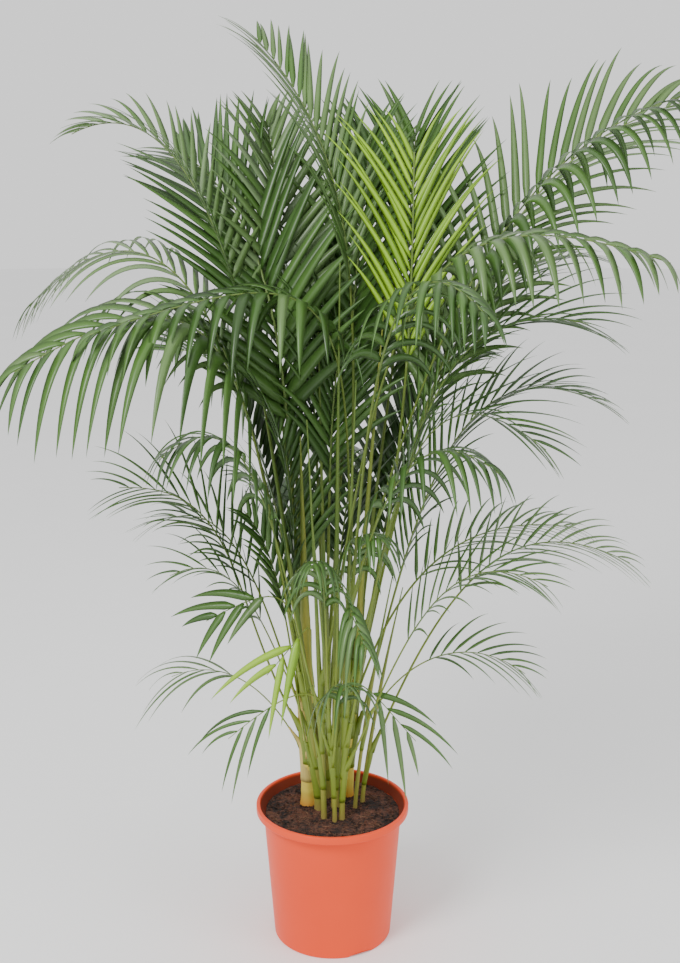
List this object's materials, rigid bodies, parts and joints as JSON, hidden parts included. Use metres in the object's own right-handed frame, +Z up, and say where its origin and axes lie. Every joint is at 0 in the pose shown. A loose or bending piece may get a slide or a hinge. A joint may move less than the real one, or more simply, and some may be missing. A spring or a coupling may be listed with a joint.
{
  "type": "potted areca palm",
  "caption": "Clump-forming feather palm in a round nursery pot: slim ringed canes carry arching, finely divided fronds.",
  "frame": {"origin": "centre of the pot's flat underside", "axes": "+Z up, +X to the right of the plant's front, +Y away from the viewer"},
  "size_m": [1.0893, 0.8358, 1.4059],
  "materials": {
    "pot": "satin moulded terracotta-coloured plastic",
    "soil": "dark fibrous peat",
    "cane_ripe": "satin yellow ringed cane",
    "cane_green": "satin yellow-green cane",
    "leaf_dark": "satin dark green leaflets",
    "leaf_light": "satin mid green leaflets",
    "leaf_young": "satin lime green leaflets"
  },
  "bodies": {
    "root": {"cane_back": "cane_green", "cane_centre": "cane_green", "cane_front": "cane_green", "cane_left": "cane_green", "cane_left_back": "cane_green", "cane_pair_1": "cane_green", "cane_pair_2": "cane_green", "cane_right": "cane_ripe", "cane_slim_1": "cane_green", "cane_slim_2": "cane_green", "cane_thick": "cane_ripe", "frond_back_1": "leaf_dark", "frond_back_2": "leaf_dark", "frond_back_3": "leaf_dark", "frond_back_4": "leaf_dark", "frond_back_5": "leaf_dark", "frond_front_1": "leaf_dark", "frond_front_1_end": "leaf_dark", "frond_front_2": "leaf_dark", "frond_front_3": "leaf_dark", "frond_front_4": "leaf_dark", "frond_left_1": "leaf_dark", "frond_left_2": "leaf_dark", "frond_left_3": "leaf_dark", "frond_left_3_end": "leaf_dark", "frond_left_4": "leaf_dark", "frond_left_4_end": "leaf_dark", "frond_low_front_1": "leaf_dark", "frond_low_front_2": "leaf_dark", "frond_low_front_3": "leaf_young", "frond_low_front_4": "leaf_dark", "frond_low_front_5": "leaf_light", "frond_low_left_1": "leaf_dark", "frond_low_left_2": "leaf_dark", "frond_low_left_3": "leaf_dark", "frond_low_left_4": "leaf_dark", "frond_low_left_5": "leaf_light", "frond_low_left_6": "leaf_dark", "frond_low_left_7": "leaf_dark", "frond_low_right_1": "leaf_light", "frond_low_right_2": "leaf_dark", "frond_low_right_3": "leaf_light", "frond_low_right_4": "leaf_dark", "frond_low_right_5": "leaf_dark", "frond_middle_1": "leaf_dark", "frond_middle_2": "leaf_young", "frond_middle_3": "leaf_dark", "frond_right_1": "leaf_dark", "frond_right_2": "leaf_dark", "frond_right_3": "leaf_dark", "frond_right_4": "leaf_dark", "frond_right_5": "leaf_dark", "frond_right_6": "leaf_dark", "frond_right_7": "leaf_dark", "frond_top_1": "leaf_dark", "frond_top_2": "leaf_dark", "frond_top_3": "leaf_dark", "frond_top_4": "leaf_dark", "pot": "pot", "soil": "soil"}
  },
  "joints": []
}
